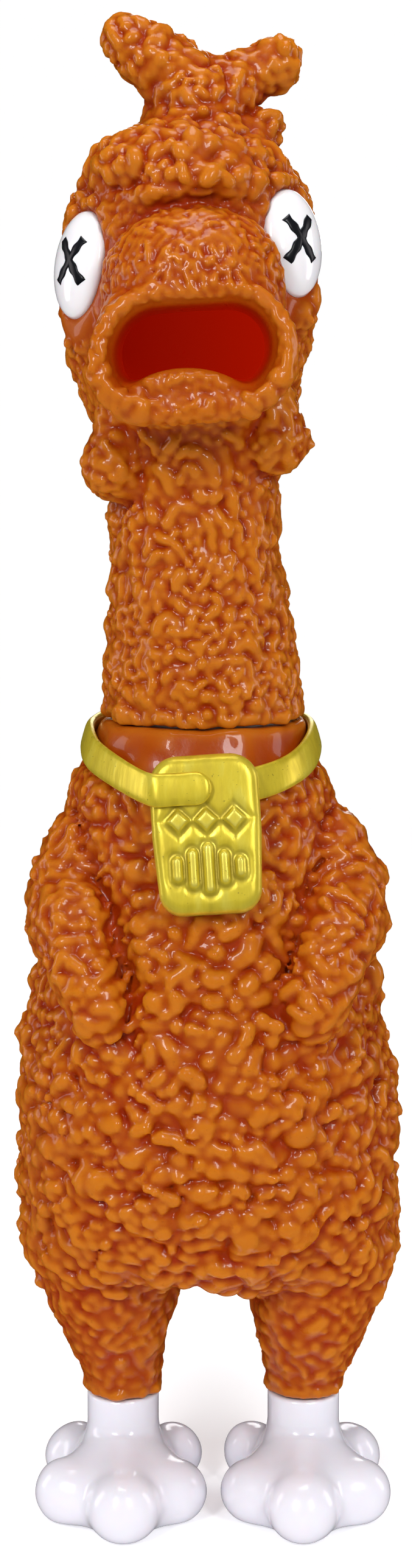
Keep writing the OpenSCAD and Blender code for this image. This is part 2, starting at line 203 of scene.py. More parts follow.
def egg(f, centre, radii, turn=0.0):
    """Distance from an ellipsoid, turned about Z by turn degrees."""
    c, s = math.cos(math.radians(turn)), math.sin(math.radians(turn))
    px, py, pz = f.x - centre[0], f.y - centre[1], f.z - centre[2]
    u, v, w = (px * c + py * s) / radii[0], (py * c - px * s) / radii[1], pz / radii[2]
    k0 = np.sqrt(u * u + v * v + w * w)
    k1 = np.sqrt((u / radii[0]) ** 2 + (v / radii[1]) ** 2 + (w / radii[2]) ** 2) + 1e-4
    return k0 * (k0 - 1) / k1


def tube(f, radius, low, high):
    """Distance from an upright cylinder on the Z axis."""
    return np.maximum(np.sqrt(f.x**2 + f.y**2) - radius, np.maximum(low - f.z, f.z - high))


# ---------- Crust ----------


def unit(v):
    return v / max(np.linalg.norm(v), 1e-9)


def add_warp(f):
    """Random drifts that keep the lumps from being perfect ellipsoids."""
    f.warp = [0.5 * f.noise(4.5) + 0.12 * f.noise(2.2) for _ in range(3)]


def press_on(f, place, along, normal, radii, k):
    """Joins one warped ellipsoid to the field."""
    side = np.cross(normal, along)
    reach = max(radii) + 1.4
    block = f.block(place - reach, place + reach)
    i, j, m = block
    here = tuple(np.clip(((place - f.low) / f.step).astype(int), 0, np.array(f.shape) - 1))
    wx, wy, wz = (w[block] - w[here] for w in f.warp)
    px, py, pz = f.x[i] - place[0] + wx, f.y[:, j] - place[1] + wy, f.z[:, :, m] - place[2] + wz
    u = (px * along[0] + py * along[1] + pz * along[2]) / radii[0]
    v = (px * side[0] + py * side[1] + pz * side[2]) / radii[1]
    w = (px * normal[0] + py * normal[1] + pz * normal[2]) / radii[2]
    k0 = np.sqrt(u * u + v * v + w * w)
    k1 = np.sqrt((u / radii[0]) ** 2 + (v / radii[1]) ** 2 + (w / radii[2]) ** 2) + 1e-4
    f.d[block] = join(f.d[block], k0 * (k0 - 1) / k1, k)


def ball_cells(reach):
    """Grid offsets within reach cells."""
    line = np.arange(-reach, reach + 1)
    cells = np.stack(np.meshgrid(line, line, line, indexing="ij"), -1).reshape(-1, 3)
    return cells[(cells**2).sum(1) <= (reach + 0.3) ** 2]


def sprinkle(f, style_at, share=1.0, k=0.5):
    """Covers the surface with short chains of beads, which lie close and leave creases between them.

    style_at(x, y, z) returns None where the skin stays smooth, or (size, links, height, curl, grain):
    a bead's radius, the least and most beads in a chain, how far a bead stands out, how much the chain
    turns from bead to bead, and the direction it tends to run in, or None for any. A chain of more than
    5 beads is strung closely, and makes a smooth worm.
    """
    soft = blurred(blurred(f.d))
    slope = np.stack([np.gradient(soft, f.step, axis=axis) for axis in range(3)], -1)
    base = f.d.copy()
    near = np.argwhere(np.abs(base) < 0.5 * f.step)
    rng.shuffle(near)
    owner = np.zeros(f.shape, np.int32)
    last_cell = np.array(f.shape) - 1
    spheres = {}
    beads = []
    for chain, start in enumerate(near, 1):
        if owner[tuple(start)]:
            continue
        place = start * f.step + f.low
        style = style_at(*place)
        if style is None:
            owner[tuple(start)] = -1
            continue
        size, (fewest, most), height, curl, grain = style
        worm = most > 5
        chance = rng.random(4)
        shown = chance[0] < share
        r = size * (0.74 + 0.6 * chance[1] ** 1.6)
        angle = chance[2] * 2 * math.pi
        loose = np.array([math.cos(angle), math.sin(angle), math.cos(2 * angle + 1)])
        lie = loose if grain is None else np.array(grain, float) + 0.6 * loose
        for _ in range(fewest + int((most - fewest + 1) * chance[3])):
            cell = np.clip(np.rint((place - f.low) / f.step).astype(int), 0, last_cell)
            if owner[tuple(cell)] not in (0, chain):
                break
            normal = unit(slope[tuple(cell)])
            place = place - normal * base[tuple(cell)]
            wobble = rng.random(5) - 0.5
            along = unit(lie - normal * (lie @ normal))
            bead_r = r * (1 + (0.16 if worm else 0.4) * wobble[0])
            tall = height * (1 + 0.5 * wobble[1])
            deep = max(tall, bead_r * 0.85)
            reach = max(1, int(round(bead_r * 1.22 / f.step)))
            if reach not in spheres:
                spheres[reach] = ball_cells(reach)
            marks = tuple(np.clip(cell + spheres[reach], 0, last_cell).T)
            owner[marks] = np.where(owner[marks] == 0, chain, owner[marks])
            if shown:
                tilt = unit(normal + wobble[2] * 0.4 * along)
                beads.append((place - normal * (deep - tall), along, tilt, (bead_r * 1.2, bead_r, deep)))
            lie = along + np.cross(normal, along) * curl * 2 * wobble[3]
            place = place + unit(lie) * bead_r * (0.8 if worm else 1.05)
    for place, along, normal, radii in beads:
        press_on(f, place, unit(along - normal * (along @ normal)), normal, radii, k)
    return len(beads)


def blurred(values):
    """Values averaged over the neighbouring cells along each axis."""
    for axis in range(3):
        values = (np.roll(values, 1, axis) + 2 * values + np.roll(values, -1, axis)) / 4
    return values


# ---------- Meshes ----------


def new_object(name, points, faces, smooth=True):
    """A mesh object from points in metres."""
    mesh = bpy.data.meshes.new(name)
    mesh.from_pydata(points, [], faces)
    mesh.validate()
    mesh.update()
    if smooth:
        mesh.shade_smooth()
    piece = bpy.data.objects.new(name, mesh)
    bpy.context.scene.collection.objects.link(piece)
    return piece


def write_attribute(piece, name, values):
    layer = piece.data.attributes.new(name, "FLOAT", "POINT")
    layer.data.foreach_set("value", np.asarray(values, np.float32))


def largest_part(count, quads):
    """True for each vertex that belongs to the largest connected part."""
    label = np.arange(count)
    while True:
        low = label[quads].min(1)
        fresh = label.copy()
        np.minimum.at(fresh, quads.ravel(), np.repeat(low, 4))
        fresh = fresh[fresh]
        if (fresh == label).all():
            break
        label = fresh
    return label == np.bincount(label).argmax()


def skin(name, f, smooth_form, turned=None):
    """Meshes the field, and puts its points through turned where it is given.

    The attribute rise says how far each point stands out of the smooth form, and hollow how deep it lies
    in a crease.
    """
    grid = openvdb.FloatGrid(3.0)
    grid.copyFromArray(np.clip(f.d, -3, 3))
    cells, quads = grid.convertToQuads(0.0)
    keep = largest_part(len(cells), quads.astype(np.int64))
    order = np.cumsum(keep) - 1
    quads = order[quads[keep[quads].all(1)]]
    cells = cells[keep]
    points = cells * f.step + f.low
    placed = points if turned is None else turned(points)
    piece = new_object(name, (placed * MM).tolist(), quads.tolist())
    write_attribute(piece, "rise", f.sample(smooth_form, points))
    soft = f.d
    hollow = 0
    for passes, weight in ((2, 1.0), (10, 0.8)):
        for _ in range(passes):
            soft = blurred(soft)
        hollow = hollow - weight * f.sample(soft, points) / f.step
    write_attribute(piece, "hollow", hollow)
    return piece, points


# ---------- Body moulding ----------

TORSO = [
    [CROTCH_Z, 26, 19, 1, 0],
    [CROTCH_Z + 4, 34, 25.4, 0.8, 0],
    [60.4, 37.6, 28.8, 0.6, 0],
    [67.5, BELLY_HALF - 1.2, 32, 0.5, 0],
    [76.3, BELLY_HALF - 1, 33, 0.3, 0],
    [86, BELLY_HALF - 1.5, 33, 0.1, 0],
    [95.8, BELLY_HALF - 2.7, 32.6, 0, 0],
    [105.5, 35.6, 31.8, 0, 0],
    [115.3, 33.4, 30.4, 0, 0],
    [125, 30.6, 28.8, 0, 0],
    [134.8, 28.6, 27.4, -0.2, 0],
    [144.5, 28, 26.6, -0.7, 0],
    [151.5, 26.6, 25.6, STRAP_X, 0],
    [156.5, 23.2, 23.6, STRAP_X, 0],
    [159.5, 21.7, 22.4, STRAP_X, 0],
    [162.4, 20.9, 21.4, -0.7, 0],
    [COLLAR_Z + 0.35, 20.5, 20.8, -0.5, 0],
]

LEG = [
    [CUFF_Z, 8, 8, 0, LEG_Y],
    [CUFF_Z + 8, 10.6, 10.8, 0.8, LEG_Y + 0.5],
    [CUFF_Z + 16, 13, 14, 1.6, LEG_Y + 1],
    [CUFF_Z + 24, 15.6, 17, 2.2, LEG_Y + 2],
    [CUFF_Z + 32, 16.8, 20, 1.6, LEG_Y + 3],
    [CUFF_Z + 40, 13, 17, 0, LEG_Y + 4],
]


def wing_balls(side):
    upper = [(24.4, -6, 139.5, 7.8), (26.4, -8, 131, 9.6), (27, -11, 124, 9.8)]
    fore = [(25, -15, 125.5, 9.8), (22.6, -21.4, 116.5, 8.8), (20.2, -25.4, 110, 7.6)]
    return [[[side * x, y, z, r] for x, y, z, r in balls] for balls in (upper, fore)]


def leg_table(side):
    return [[z, a, b, side * (LEG_HALF_GAP + x) + LEG_SHIFT, y] for z, a, b, x, y in LEG]


def strap_z(angle):
    """Height of the necklace strap's middle, by angle round the neck in radians."""
    sine = np.sin(angle)
    return STRAP_SIDE_Z - STRAP_SAG * np.maximum(0, -sine) ** 1.5 + STRAP_RISE * np.maximum(0, sine)


def behind_tag(x, y, z):
    return y < -18 and abs(x - TAG_CENTRE[0]) < TAG_W / 2 - 0.6 and z > TAG_CENTRE[2] - TAG_H / 2 + 0.5


def body_style(x, y, z):
    """The crust's beads on the body."""
    if z < CUFF_Z + 1 or z > strap_z(math.atan2(y, x)) - 3 or behind_tag(x, y, z):
        return None
    if z < 34:
        return 1.2, (1, 3), 0.5, 0.6, None
    if z < 50:
        return 1.45, (1, 3), 0.75, 0.6, None
    if abs(x) > 13 and 99 < z < 143 and y < -8:
        return 1.55, (2, 4), 1.15, 0.4, (1, 0, 0.2)
    if z > 138:
        return 1.5, (2, 4), 1.0, 0.7, None
    return 1.9, (2, 4), 1.6, 0.8, (1, 0, 0.1)


def body_swells(x, y, z):
    """Broad swellings under the crust."""
    if not 54 < z < 136 or behind_tag(x, y, z) or (abs(x) > 13 and z > 101 and y < 0):
        return None
    return 2.7, (2, 4), 1.2, 0.8, (1, 0, 0.2)


def body_crumbs(x, y, z):
    """The finest beads, which lie on the others."""
    return None if body_style(x, y, z) is None else (0.8, (1, 2), 0.32, 0.5, None)


def make_body():
    f = Field([-44, -40, CUFF_Z - 3], [44, 40, COLLAR_Z + 3], STEP_BODY)
    add_warp(f)
    form = loft(f, TORSO)
    for side in (-1, 1):
        form = join(form, loft(f, leg_table(side)), 5)
    wings = None
    for side in (-1, 1):
        upper, fore = wing_balls(side)
        wing = join(strand(f, upper), strand(f, fore), 3)
        wings = wing if wings is None else np.minimum(wings, wing)
    inner = np.clip((20 + (f.z - 110) * 0.2 - np.abs(f.x)) / 4, 0, 1)
    seam = inner * np.exp(-(((form - wings) / 3.4) ** 2))
    form = join(form, wings, 2.2) + 0.7 * seam * f.noise(2.6)
    form = join(form, strand(f, [[0, 21, 62, 11], [0, 26.5, 68, 7.5], [0, 29.4, 75, 5.2]]), 6)
    collar = np.clip((f.z - strap_z(np.arctan2(f.y, f.x)) + 2.5) / 2.5, 0, 1)
    bare = np.maximum(collar, np.clip((CUFF_Z + 3 - f.z) / 3, 0, 1))
    form = form + CRUST * (1 - bare) + (0.5 * f.noise(13) + 0.5 * f.noise(7)) * (1 - bare)
    form = form + 0.4 * f.noise(4) * collar
    f.d = form.copy()
    sprinkle(f, body_swells, 0.7, 1.2)
    sprinkle(f, body_style)
    sprinkle(f, body_crumbs, 0.12, 0.3)
    f.d += 0.8 * seam
    f.d = -join(-f.d, f.z - CUFF_Z, 1)
    f.d = cut(f.d, tube(f, PLUG_R, COLLAR_Z - 26, COLLAR_Z + 9), 0.4)
    piece, _ = skin("body_skin", f, form)
    return piece


# ---------- Head moulding ----------

SKULL = [
    [NECK_Z, 19.8, 19.8, 0, 0],
    [NECK_Z + 9, 19.3, 19.3, -0.6, 0],
    [NECK_Z + 18, 18, 18, -1.2, 0],
    [NECK_Z + 27, 17.1, 17.1, -1.7, 0],
    [NECK_Z + 36, 16.4, 16.4, -2.1, 0],
    [NECK_Z + 45, 16.1, 16.2, -2.3, 0],
    [NECK_Z + 54, 17.5, 17.5, -2.7, -0.5],
    [NECK_Z + 63, 21, 19.5, HEAD_LEAN + 0.3, -1],
    [NECK_Z + 72, 23.2, 21, HEAD_LEAN - 0.2, -1],
    [NECK_Z + 81, 23.8, 21.8, HEAD_LEAN, -1],
    [NECK_Z + 90, 24, 22, HEAD_LEAN + 0.1, -1],
    [NECK_Z + 99, 23.2, 21.2, HEAD_LEAN + 0.3, -1],
    [NECK_Z + 108, 18.2, 17.5, HEAD_LEAN + 0.9, -1],
    [NECK_Z + 117, 8, 9, HEAD_LEAN + 1.5, -1],
]

# Eyes: [x, y, z, turn from straight sideways towards the front].
LEFT_EYE = (-22.2, -10.5, 252.3, 38)
RIGHT_EYE = (14.9, -12, 256.3, 46)
EYE_LEAN = math.radians(9)
EYE_SEAT = 2.4
EYE_HALF = (7.3, 10.5)


def muzzle(f):
    """The beak: a rounded box that runs forward, wider and flatter towards the lips."""
    t = np.clip((-f.y - 6) / 28, 0, 1)
    half_w = 16.4 + 3.2 * t * t
    half_h = 15.5 - 4.4 * t + 1.4 * t**4
    z = 243.6 - 7.2 * t
    px, pz = np.abs(f.x - MOUTH[0]), np.abs(f.z - z)
    power = 2.5
    side = ((px / half_w) ** power + (pz / half_h) ** power) ** (1 / power)
    d = (side - 1) * np.minimum(half_w, half_h)
    return np.maximum(-join(-d, -(LIP_Y + 0.2 - f.y), 7), f.y - 4)


def mouth_slot(f):
    """Distance from the open beak's outline, as seen from the front."""
    px, pz = np.maximum(np.abs(f.x - MOUTH[0]) - 6.4, 0), f.z - MOUTH[1] - 0.06 * (f.x - MOUTH[0])
    return np.sqrt(px**2 + pz**2) - 8.8


def mouth_hole(f):
    """The beak's tunnel, with the lower lip's bump left standing, and the hollow head and neck behind it."""
    bump = np.sqrt(((f.x - MOUTH[0] + 1) * 0.66) ** 2 + (f.z - MOUTH[1] + 12.2) ** 2) - 9
    depth = np.clip(f.y - LIP_Y, 0, 13)
    slot = cut(mouth_slot(f) + 0.13 * depth, bump + np.clip((f.y + 20) * 0.35, 0, 9), 2.5)
    tunnel = -join(-slot, -(f.y - 2), 6)
    cavity = -join(-(loft(f, SKULL) + HEAD_WALL), 262 - f.z, 8)
    return join(tunnel, cavity, 4)


def lips(f):
    """A thick roll round the open beak, which fades out above it."""
    roll = 2 + 0.5 * np.clip((MOUTH[1] - f.z) / 5, -4, 1)
    return np.sqrt((mouth_slot(f) - 2.2) ** 2 + (f.y - LIP_Y - 2.2) ** 2) - roll


def eye_frame(place, side):
    """The eye's outward, forward and upward directions."""
    turn = math.radians(place[3])
    flat = np.array([side * math.cos(turn), -math.sin(turn), 0.0])
    above = np.array([0.0, 0.0, 1.0])
    out = flat * math.cos(EYE_LEAN) + above * math.sin(EYE_LEAN)
    up = above * math.cos(EYE_LEAN) - flat * math.sin(EYE_LEAN)
    return out, np.cross(up, out), up


def eye_coords(f, place, side):
    """Coordinates across, up and out of an eye."""
    out, across, up = eye_frame(place, side)
    px, py, pz = f.x - place[0], f.y - place[1], f.z - place[2]
    return [px * axis[0] + py * axis[1] + pz * axis[2] for axis in (across, up, out)]


def eye_boss(f, place, side):
    """The smooth pad that an eye sits on, which runs on below it as a bag."""
    u, v, w = eye_coords(f, place, side)
    pad = (np.sqrt((u / 7.9) ** 2 + ((v + 2.4) / 13.2) ** 2) - 1) * 7.9
    return -join(-pad, -(np.abs(w - EYE_SEAT + 10) - 10), 3)


def eye_pocket(f, place, side):
    """The room that the eye's white dome takes."""
    u, v, w = eye_coords(f, place, side)
    rim = (np.sqrt((u / EYE_HALF[0]) ** 2 + (v / EYE_HALF[1]) ** 2) - 1) * EYE_HALF[0]
    return np.maximum(rim + 0.1, EYE_SEAT - 0.2 - w)


def make_head_form(f):
    form = loft(f, SKULL)
    form = join(form, muzzle(f), 5)
    snout = egg(f, (MOUTH[0] + 0.4, -19, 249), (17.4, 14.4, 14.6))
    crease = 0.8 * np.exp(-(((form - snout) / 1.1) ** 2)) * np.clip((f.z - 253) / 5, 0, 1)
    form = join(form, snout, 2) + crease
    form = join(form, egg(f, (HEAD_LEAN - 1.6, -7.8, 270.4), (17, 15.2, 8.4)), 2)
    brow = [[-17.5, -13, 262, 2.6], [-10, -21, 266, 2.8], [0, -22.5, 268, 2.8], [9, -18, 267, 2.6]]
    form = join(form, strand(f, brow), 1.6)
    form = join(form, lips(f), 2.4)
    comb = strand(f, [[-2, -1, 270, 10.4], [-1.6, -1, 283, 9.6], [-8, -1, 290.6, 6.4], [-14, -1, 295, 5.6]])
    comb = join(comb, strand(f, [[0, 0, 281, 8.6], [7, 0.5, 288.4, 5.4], [12.8, 0.5, 290.8, 4.9]]), 3)
    comb = join(comb, strand(f, [[3, -1, 278.4, 3.8], [10.4, -2, 278.6, 3.7]]), 0.8)
    form = join(form, comb, 3)
    form = join(form, strand(f, [[-15.6, -9, 222.5, 5.4], [-17.4, -9.5, 214.8, 6.8]]), 1.6)
    form = join(form, strand(f, [[11.8, -9, 227.5, 5.4], [13.4, -9.5, 219.6, 6.8]]), 1.6)
    return form


def near_eye(x, y, z):
    """Whether a place is on an eye's smooth boss or the bag below it."""
    for place, side in ((LEFT_EYE, -1), (RIGHT_EYE, 1)):
        out, across, up = eye_frame(place, side)
        p = np.array([x, y, z]) - place[:3]
        if (p @ out) > -7 and (p @ across / 9) ** 2 + ((p @ up + 2) / 13.6) ** 2 < 1:
            return True
    return False


def head_style(x, y, z):
    """The crust's beads on the head and neck."""
    if z < NECK_Z + 1.4 or near_eye(x, y, z):
        return None
    if abs(x + 2) > 9.5 and 208 < z < 233 and y < 2:
        return 1.35, (2, 4), 0.85, 0.8, None
    if z < 190:
        return 1.25, (4, 10), 1.1, 1.1, (0.1, 0, 0.3)
    if y < -16 and 218 < z < 247:
        return 0.85, (1, 3), 0.52, 0.6, None
    if z < 222:
        return 1.35, (4, 8), 1.15, 0.85, (0.2, 0, 0.8)
    if y < -13 and z < 262:
        return 0.7, (4, 9), 0.6, 0.35, (0.1, -0.4, 1)
    if y < -13 and z < 267.5:
        return 0.9, (3, 8), 0.55, 0.4, (1, 0, 0.2)
    if z > 281:
        return 1.5, (1, 3), 1.05, 0.7, None
    if z > 262:
        return 1.65, (1, 3), 1.75, 0.9, None
    return 1.4, (2, 4), 1.0, 0.8, None


def head_swells(x, y, z):
    """Broad swellings under the crust of the neck and comb."""
    if near_eye(x, y, z) or z < NECK_Z + 5 or (y < -12 and 216 < z < 268):
        return None
    return 2.6, (1, 3), 0.6, 0.6, None


def head_crumbs(x, y, z):
    """The finest beads, which lie on the others."""
    if head_style(x, y, z) is None or z < 208 or (y < -14 and 222 < z < 268):
        return None
    return 0.75, (1, 2), 0.3, 0.5, None


def make_head():
    f = Field([-34, -40, NECK_Z - 3], [26, 27, HEAD_HIGH[2] + 4], STEP_HEAD)
    add_warp(f)
    form = make_head_form(f)
    smooth = np.clip((NECK_Z + 3 - f.z) / 3, 0, 1)
    face = (f.y < -14) & (f.z > 222) & (f.z < 266)
    form = form + np.where(face, 0.4, 1.0) * (1 - smooth)
    bosses = join(eye_boss(f, LEFT_EYE, -1), eye_boss(f, RIGHT_EYE, 1), 0.5)
    form = join(form, bosses, 1.6)
    form = -join(-form, f.z - NECK_Z, 0.9)
    f.d = form.copy()
    sprinkle(f, head_swells, 0.6, 1.5)
    sprinkle(f, head_style, 1.0, 0.42)
    sprinkle(f, head_crumbs, 0.15, 0.3)
    for place, side in ((LEFT_EYE, -1), (RIGHT_EYE, 1)):
        f.d = cut(f.d, eye_pocket(f, place, side), 0.6)
    hole = mouth_hole(f)
    f.d = cut(f.d, hole, 2.2)
    f.d = np.maximum(f.d, NECK_Z - f.z)
    web_z, web_top = NECK_Z + 1.6, NECK_Z + 4
    for radius, low, high in ((FLANGE_R, NECK_Z - 5, web_z), (SWIVEL_R, NECK_Z - 5, web_top + 1)):
        f.d = cut(f.d, tube(f, radius, low, high), 0.3)
    piece, points = skin("head_skin", f, form)
    # Masks for the mouth's painted shade and its painted glow, which stands in for light through the vinyl.
    inside = np.clip(1.3 - f.sample(hole, points), 0, 1) * (points[:, 2] > 200)
    depth = points[:, 1] - LIP_Y
    write_attribute(piece, "mouth", inside * np.clip((depth - 1) / 9, 0, 1))
    # Painted light: the glow is brighter towards +X, as if more light came through that side.
    side = np.clip(0.5 + (points[:, 0] - MOUTH[0]) / 70, 0, 1)
    write_attribute(piece, "glow", inside * side * np.clip((depth - 6) / 14, 0, 1))
    return piece


# ---------- Feet ----------


# Toes: [x, y from the leg's axis, height, radius].
TOES = [
    (-0.6, -18.6, 6.6, 7.3),
    (-10.6, -9.6, 6.2, 6.7),
    (10.8, -10.2, 6.3, 6.8),
    (-10, 8.8, 6.8, 6.3),
    (10.2, 8.6, 6.4, 6.5),
]
# Shank: [y from the leg's axis, height, radius], from the foot's broad middle up into the cuff.
SHANK = [(-9, 5.6, 9.6), (-4, 8.5, 9.4), (-1, 12.5, 8.3), (0, 17.5, 7.4), (0, 27, 7.4)]


def make_foot(name, side):
    """A knobbly bone end: five round toes that run together under a thick shank."""
    x = side * LEG_HALF_GAP + LEG_SHIFT
    f = Field([x - 22, LEG_Y - 31, -2], [x + 22, LEG_Y + 21, CUFF_Z + 2], STEP_FOOT)
    form = strand(f, [[x, LEG_Y + y, z, r] for y, z, r in SHANK])
    for bx, by, bz, r in TOES:
        root = [x + side * bx * 0.4, LEG_Y + by * 0.4, 6.6, r * 0.9]
        form = join(form, strand(f, [root, [x + side * bx, LEG_Y + by, bz, r]]), 4.6)
    form = np.maximum(form, f.z - (CUFF_Z - 0.05)) + 0.3 * f.noise(7) * np.clip((20 - f.z) / 8, 0.2, 1)
    form = -join(-form, f.z, 1.2)
    f.d = form.astype(np.float32)
    piece, _ = skin(name, f, form)
    return piece


# ---------- Eyes ----------


def dome_height(t):
    """The dome's height where t runs from 0 at its middle to 1 at its rim."""
    return 3.8 * (1 - min(t, 1) ** 2.6) ** 0.62


def eye_point(place, side, u, v, lift):
    """A point u across and v up from the eye's middle, lift out of its seat."""
    out, across, up = eye_frame(place, side)
    return np.array(place[:3]) + across * u + up * v + out * (EYE_SEAT - 0.4 + lift)


def make_eye(name, place, side):
    """A shallow oval dome with a soft rim."""
    turns, rings = 64, 18
    points = [eye_point(place, side, 0, 0, dome_height(0))]
    for i in range(1, rings + 1):
        t = i / rings
        for j in range(turns):
            a = 2 * math.pi * j / turns
            u, v = EYE_HALF[0] * t * math.cos(a), EYE_HALF[1] * t * math.sin(a)
            points.append(eye_point(place, side, u, v, dome_height(t)))
    faces = [(0, 1 + j, 1 + (j + 1) % turns) for j in range(turns)]
    for a in range(1, (rings - 1) * turns, turns):
        for j in range(turns):
            n = (j + 1) % turns
            faces.append((a + j, a + turns + j, a + turns + n, a + n))
    back, rim = len(points), len(points) - turns
    points.append(eye_point(place, side, 0, 0, -0.6))
    faces += [(rim + j, back, rim + (j + 1) % turns) for j in range(turns)]
    return new_object(name, (np.array(points) * MM).tolist(), faces)


# Brush strokes of the eyes' crosses: [angle, length, sideways shift]. They sit a little towards the beak.
CROSS_PLACE = (1.2, 0.2)
STROKES = [(38, 10.6, 0), (-35, 10, 0.2)]


def make_cross(name, place, side):
    """Two brushed strokes of paint that lie on the dome."""
    points, faces = [], []
    long, wide = 26, 6
    ring = 2 * (wide + 1)
    for angle, length, shift in STROKES:
        c, s = math.cos(math.radians(angle)), math.sin(math.radians(angle))
        base = len(points)
        for i in range(long + 1):
            for j in range(ring):
                run = (i / long - 0.5) * length
                across = (min(j, ring - 1 - j) / wide - 0.5) * 2
                w = across * (0.92 + 0.14 * math.sin(i * 0.9 + angle))
                u, v = w * c + run * s + shift, run * c - w * s
                edge = max(0.0, 1 - across * across) ** 0.5 * min(1, (length / 2 - abs(run)) / 0.5 + 0.3)
                u, v = (u - CROSS_PLACE[0]) * side, v + CROSS_PLACE[1]
                lift = dome_height(math.hypot(u / EYE_HALF[0], v / EYE_HALF[1]))
                lift += 0.05 + 0.15 * edge if j <= wide else -0.1
                points.append(eye_point(place, side, u, v, lift))
        for i in range(long):
            for j in range(ring):
                a, n = base + i * ring, (j + 1) % ring
                faces.append((a + j, a + n, a + ring + n, a + ring + j))
        faces.append(tuple(range(base, base + ring))[::-1])
        faces.append(tuple(range(len(points) - ring, len(points))))
    if side < 0:
        faces = [face[::-1] for face in faces]
    return new_object(name, (np.array(points) * MM).tolist(), faces)


# ---------- Necklace ----------


def tag_axes():
    """The tag's directions across, up and out of its face."""
    rise = math.sin(TAG_ROLL)
    across = np.array([math.cos(TAG_ROLL), rise * math.sin(TAG_LEAN), rise * math.cos(TAG_LEAN)])
    out = np.array([0, -math.cos(TAG_LEAN), math.sin(TAG_LEAN)])
    return across, np.cross(out, across), out


def on_tag(points):
    """Points given on the tag, in the object's frame."""
    return np.array(TAG_CENTRE) + np.asarray(points) @ np.array(tag_axes())


def rounded_bar(u, v, half_w, half_h, r):
    """Distance from an upright rounded rectangle in the tag's plane."""
    qu, qv = np.abs(u) - half_w + r, np.abs(v) - half_h + r
    return np.sqrt(np.maximum(qu, 0) ** 2 + np.maximum(qv, 0) ** 2) + np.minimum(np.maximum(qu, qv), 0) - r


# The tag's raised pattern: diamonds over sound-level bars, each bar [x, height].
DIAMONDS = (-5.4, 0, 5.4)
DIAMOND_Y = 2.6
DIAMOND_HALF = 1.9
BARS = [(-6, 4.4), (-3, 7), (0, 9), (3, 6), (6, 3.6)]
BARS_Y = -6.6


def make_tag():
    """A pillowed plate with soft edges and a raised pattern, whose back follows the chest."""
    f = Field([-12.5, -17.5, -8], [12.5, 17.5, 4], STEP_TAG)
    u, v = f.x, f.y
    top = TAG_T / 2 + 0.1 - 0.0028 * u**2 - 0.0009 * v**2
    half_w = TAG_W / 2 + TAG_TAPER * np.minimum(v, 0)
    outline = rounded_bar(u, v, half_w, TAG_H / 2, np.where(v > 0, 5.4, 4.2)) + 0.06 * f.noise(5)
    plate = -join(-outline, top - f.z, 2.4)
    motif = [(np.abs(u - x) + np.abs(v - DIAMOND_Y) - DIAMOND_HALF) * 0.7 for x in DIAMONDS]
    motif += [rounded_bar(u - x, v - BARS_Y, 0.75, h / 2, 0.7) for x, h in BARS]
    raised = np.minimum.reduce([np.broadcast_to(m, (*f.shape[:2], 1)) for m in motif])
    dip = 0.28 * np.exp(-((raised - 0.9) ** 2) / 0.5)
    plate = np.maximum(plate, -join(-outline, top - dip - f.z, 2.4))
    raised = -join(-raised, -(np.abs(f.z - top) - 0.55), 0.5)
    f.d = join(plate, raised, 0.5).astype(np.float32)
    across, up, out = tag_axes()
    u, v, w = f.x, f.y, f.z
    f.x, f.y, f.z = (TAG_CENTRE[i] + u * across[i] + v * up[i] + w * out[i] for i in range(3))
    f.d = np.maximum(f.d, -(loft(f, TORSO) + 1.2))
    return skin("tag_plate", f, f.d, on_tag)[0]


def strap_station(degrees):
    """A station of the strap: [place, outward, across the width, half width]."""
    a = math.radians(degrees)
    z = float(strap_z(a))
    half_w = STRAP_W / 2
    table = np.array(TORSO, float)
    girth = float(spline(np.array([z - half_w]), table[:, 0], table[:, 1])[0])
    r = girth - math.tan(STRAP_LEAN) * half_w + 0.2 + STRAP_T / 2
    out = (math.cos(a) * math.cos(STRAP_LEAN), math.sin(a) * math.cos(STRAP_LEAN), math.sin(STRAP_LEAN))
    up = (-math.cos(a) * math.sin(STRAP_LEAN), -math.sin(a) * math.sin(STRAP_LEAN), math.cos(STRAP_LEAN))
    return [STRAP_X + r * math.cos(a), r * math.sin(a), z, *out, *up, half_w]


def tongue_station(x, half_w):
    across, up, out = tag_axes()
    place = on_tag([x, TONGUE_Y, TAG_T / 2 + 0.1 + STRAP_T / 2])
    return [*place, *out, *up, half_w]


